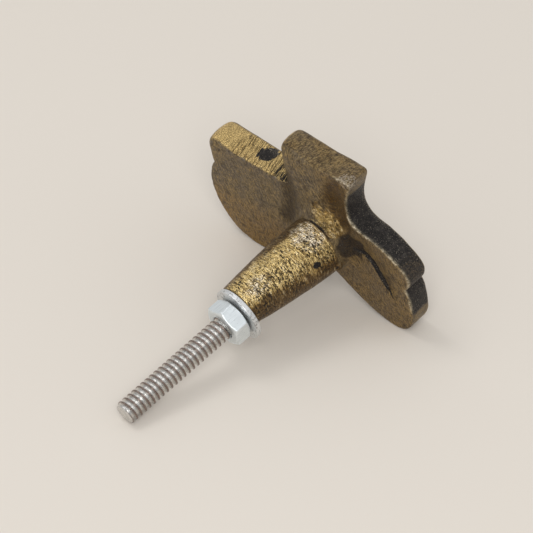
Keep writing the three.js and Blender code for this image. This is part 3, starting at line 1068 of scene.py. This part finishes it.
def worn_and_highlit_share(s, stem):
    """How much of the stem and the hump is worn to bare metal, with the stem's top also painted lighter
    as a highlight.
    """
    drift = s.plus(s.span(s.mottle, 0.3, 0.7, -0.3, 0.3), s.span(s.rings, 0.3, 0.7, -0.35, 0.35))
    worn = s.span(s.plus(s.mask("bare"), drift), 0.02, 0.75)
    gate = s.calc("MAXIMUM", stem, s.span(s.mask("bare"), 0.0, 0.3))
    return s.times(worn, gate, s.span(s.grit, 0.32, 0.46, 0.35, 1.0))


def worn_and_highlit_colour(s):
    """Bare brass, painted lighter at the band's centre and darker towards its edges as highlight and
    shade: turned rings, and painted silvery highlights on the scraped patches.
    """
    # Painted highlight and shade: the band is lighter at its centre and darker towards its edges.
    brass = s.mix(s.span(s.mask("bare"), 0.25, 0.9), OLD_BRASS, HIGHLIT_BARE_BRASS)
    brass = s.mix(s.span(s.rings, 0.50, 0.70, 0.0, 0.7), brass, RUBBED_BRASS)
    # Painted highlight: silvery glints on the scraped patches.
    glint = s.times(s.mask("glint"), s.span(s.grit, 0.42, 0.56, 0.3, 2.2))
    glint = s.calc("MULTIPLY", glint, s.span(s.mottle, 0.40, 0.54, 0.3, 2.2), True)
    brass = s.mix(glint, brass, GLINT_SILVER)
    return s.mix(s.span(s.rings, 0.38, 0.48, 0.8, 0.0), brass, FLANK_BROWN)


def filed_colour(s):
    """The filed top of the left wing: dark file lines, brown blotches and a black scuff."""
    lines = s.times(s.span(s.strokes, 0.50, 0.62), s.span(s.mask("lines"), 0.0, 1.0, 0.25, 0.9))
    filed = s.mix(lines, FILED_BRASS, FILE_BROWN)
    filed = s.mix(s.span(s.mottle, 0.57, 0.70, 0.0, 0.7), filed, PATINA_BROWN)
    return s.mix(s.times(s.mask("scuff"), s.span(s.strokes, 0.36, 0.52)), filed, SKIN_BLACK)


def pit_share(s, stem):
    """Black pits in the stem and the hump."""
    pits = s.noise(s.stretch(s.along, (1.9, 1.9, 3.6)), 1.0, 3.0, 0.75)
    pits = s.plus(pits, s.span(s.cloud, 0.35, 0.65, -0.05, 0.05))
    pits = s.span(s.plus(pits, s.times(s.mask("glint"), 0.04)), 0.56, 0.61)
    return s.times(pits, s.calc("MAXIMUM", s.mask("bare"), stem))


def skin_and_shade_colour(s):
    """The black casting skin, specked with paler grains; the same black is the painted shade in the
    crease, the groove and round the root.
    """
    cover = s.span(s.mask("front"), 0.0, 1.0, 0.60, 0.50)
    speck = s.span(s.fine, cover, s.plus(cover, 0.10))
    skin = s.mix(s.times(speck, 0.9), SKIN_BLACK, SKIN_SPECK)
    return s.mix(s.span(s.mottle, 0.45, 0.7, 0.0, 0.5), skin, SKIN_GREY)


def brass_normal(s, stem, pits):
    """Fine bumps: grit everywhere, lines on the filed top, stem and back, and the pits."""
    height = s.plus(s.times(s.grit, 0.7), s.times(s.fine, 0.5))
    height = s.plus(height, s.times(s.mask("grain"), s.grain))
    height = s.times(height, s.span(stem, 0.0, 1.0, 1.0, 0.5))
    normal = s.bump(height, BRASS_BUMP)
    lines = s.plus(s.times(s.mask("filed"), s.strokes), s.times(stem, s.rings, 0.6))
    lines = s.plus(lines, s.times(s.mask("back"), s.times(s.brush, 0.7)))
    normal = s.bump(lines, BRASS_BUMP, 1.0, normal)
    return s.bump(s.calc("SUBTRACT", 1.0, pits), PIT_BUMP, 1.0, normal)


def brass_material():
    s = Shade("aged_brass")
    brass_textures(s)
    stem = s.mask("stem")
    worn = worn_and_highlit_share(s, stem)
    flank = s.mix(s.span(s.grit, 0.46, 0.62), FLANK_BROWN, DEEP_BROWN)
    # The stem's top band is worn brass with a painted highlight; elsewhere the stem is brown patina.
    colour = s.mix(worn, s.mix(stem, patina_colour(s), flank), worn_and_highlit_colour(s))
    colour = s.mix(s.mask("filed"), colour, filed_colour(s))
    pits = pit_share(s, stem)
    colour = s.mix(s.times(pits, 0.9), colour, SKIN_BLACK)
    # Black skin, and painted shade in the crease, the groove and round the root.
    black = s.span(s.plus(s.mask("black"), s.span(s.grit, 0.3, 0.7, -0.2, 0.2)), 0.3, 0.6)
    colour = s.mix(black, colour, skin_and_shade_colour(s))

    edge = s.plus(s.mask("rub"), s.span(s.mottle, 0.3, 0.7, -0.45, 0.25))
    # Painted highlight along the right wing's rear edge, over worn metal.
    rim = s.times(s.mask("rim"), s.span(s.grit, 0.38, 0.56, 0.25, 1.3))
    edge = s.calc("MAXIMUM", s.span(edge, 0.45, 0.85), rim, True)
    colour = s.mix(s.times(edge, 0.85), colour, s.mix(rim, RUBBED_BRASS, GLINT_SILVER))
    colour = s.mix(s.times(s.mask("nick"), 0.8), colour, NICK_GREY)
    # Painted sheen on the lobe's worn back-right corner.
    worn_sheen = s.span(s.plus(s.mask("worn_sheen"), s.span(s.grit, 0.3, 0.7, -0.5, 0.5)), 0.7, 1.3)
    colour = s.mix(s.times(worn_sheen, 0.5), colour, WORN_SHEEN_GREY)

    bright = s.calc("MAXIMUM", worn, s.calc("MAXIMUM", s.mask("filed"), edge))
    bright = s.times(bright, s.calc("SUBTRACT", 1.0, s.times(black, 0.8)))
    dull = s.span(s.grit, 0.3, 0.7, 0.34, 0.54)
    rough = s.blend(bright, dull, s.span(s.grit, 0.3, 0.7, 0.20, 0.38))
    return s.finish(
        Base_Color=colour,
        Metallic=s.span(bright, 0.0, 1.0, 0.75, 1.0),
        Roughness=rough,
        Normal=brass_normal(s, stem, pits),
    )


def stem_axes():
    """Sideways, upwards and along the stem, in the head's frame."""
    axis = Vector(STEM_AXIS)
    side = Vector((0, 0, 1)).cross(axis).normalized()
    return side, axis.cross(side), axis


def steel_material():
    s = Shade("stud_steel", HEAD @ STUD)
    grit = s.noise(s.mm, 3.5, 4.0, 0.65)
    cloud = s.noise(s.mm, 0.5, 3.0)
    crest = s.span(s.plus(s.mask("crest"), s.span(grit, 0.3, 0.7, -0.2, 0.2)), 0.55, 0.85)
    steel = s.mix(cloud, (0.56, 0.55, 0.53), (0.76, 0.75, 0.73))
    tarnish = s.mix(grit, (0.110, 0.066, 0.048), (0.24, 0.160, 0.125))
    colour = s.mix(s.times(crest, 0.85), steel, tarnish)
    rough = s.span(grit, 0.3, 0.7, 0.20, 0.36)
    rings = s.noise(s.stretch(s.mm, (0.6, 0.6, 9.0)), 1.0, 2.0)
    normal = s.bump(s.plus(grit, rings), 0.00005)
    return s.finish(Base_Color=colour, Metallic=1.0, Roughness=rough, Normal=normal)


def washer_material():
    s = Shade("washer_zinc", HEAD @ STUD)
    grit = s.noise(s.mm, 2.2, 5.0, 0.7)
    cloud = s.noise(s.mm, 0.45, 3.0)
    zinc = s.mix(cloud, (0.62, 0.63, 0.63), (0.80, 0.81, 0.81))
    colour = s.mix(s.span(grit, 0.53, 0.64, 0.0, 0.8), zinc, (0.20, 0.19, 0.18))
    rough = s.span(grit, 0.3, 0.7, 0.34, 0.55)
    normal = s.bump(grit, 0.00006)
    return s.finish(Base_Color=colour, Metallic=0.9, Roughness=rough, Normal=normal)


def nut_material():
    s = Shade("nut_zinc", HEAD @ STUD)
    lines = s.noise(s.stretch(s.mm, (4.5, 4.5, 0.5)), 1.0, 3.0)
    cloud = s.noise(s.mm, 0.5, 3.0)
    grit = s.noise(s.mm, 5.0, 3.0)
    zinc = s.mix(cloud, (0.72, 0.78, 0.80), (0.88, 0.93, 0.96))
    colour = s.mix(s.span(lines, 0.5, 0.75, 0.0, 0.45), zinc, (0.40, 0.44, 0.45))
    colour = s.mix(s.span(grit, 0.62, 0.75, 0.0, 0.4), colour, (0.28, 0.29, 0.29))
    rough = s.span(lines, 0.3, 0.7, 0.32, 0.48)
    normal = s.bump(s.plus(lines, s.times(grit, 0.4)), 0.00004)
    return s.finish(Base_Color=colour, Metallic=0.85, Roughness=rough, Normal=normal)


# ------------------------------------------------------------------ floor, light and camera

def build_floor():
    low, high = -FLOOR_HALF, FLOOR_HALF
    mesh = bpy.data.meshes.new("floor")
    corners = [(low, low, 0), (high, low, 0), (high, high, 0), (low, high, 0)]
    mesh.from_pydata(corners, [], [(0, 1, 2, 3)])
    floor = bpy.data.objects.new("floor", mesh)
    bpy.context.scene.collection.objects.link(floor)
    mesh.materials.append(plain("floor_paper", FLOOR_PAPER, 0.0, 0.9))


def add_area(name, location, size, power):
    light = bpy.data.lights.new(name, "AREA")
    light.shape = "DISK"
    light.size = size
    light.energy = power
    obj = bpy.data.objects.new(name, light)
    bpy.context.scene.collection.objects.link(obj)
    obj.location = location
    way = Vector(LIGHT_TARGET) - Vector(location)
    obj.rotation_euler = way.to_track_quat("-Z", "Y").to_euler()


def build_light():
    world = bpy.data.worlds.new("studio")
    bpy.context.scene.world = world
    world.use_nodes = True
    world.node_tree.nodes["Background"].inputs["Color"].default_value = (1, 1, 1, 1)
    world.node_tree.nodes["Background"].inputs["Strength"].default_value = WORLD_STRENGTH
    add_area("key", KEY_PLACE, KEY_SIZE, KEY_POWER)
    add_area("fill", FILL_PLACE, FILL_SIZE, FILL_POWER)


def build_camera():
    """At the photograph's angle: 42 degrees round to the right and 42 degrees up."""
    towards = Vector(CAMERA_WAY).normalized()
    aim = HEAD.translation + Vector(CAMERA_AIM)
    camera = bpy.data.objects.new("camera", bpy.data.cameras.new("camera"))
    bpy.context.scene.collection.objects.link(camera)
    camera.location = (aim + CAMERA_DISTANCE * towards) * MM
    camera.rotation_euler = (-towards).to_track_quat("-Z", "Y").to_euler()
    camera.data.lens = CAMERA_LENS
    camera.data.sensor_width = CAMERA_SENSOR
    camera.data.clip_start = 0.01
    bpy.context.scene.camera = camera


def main():
    build_casting()
    build_stud()
    build_washer()
    build_nut()
    build_floor()
    build_camera()
    build_light()
    bpy.context.scene.view_settings.view_transform = "Standard"


main()
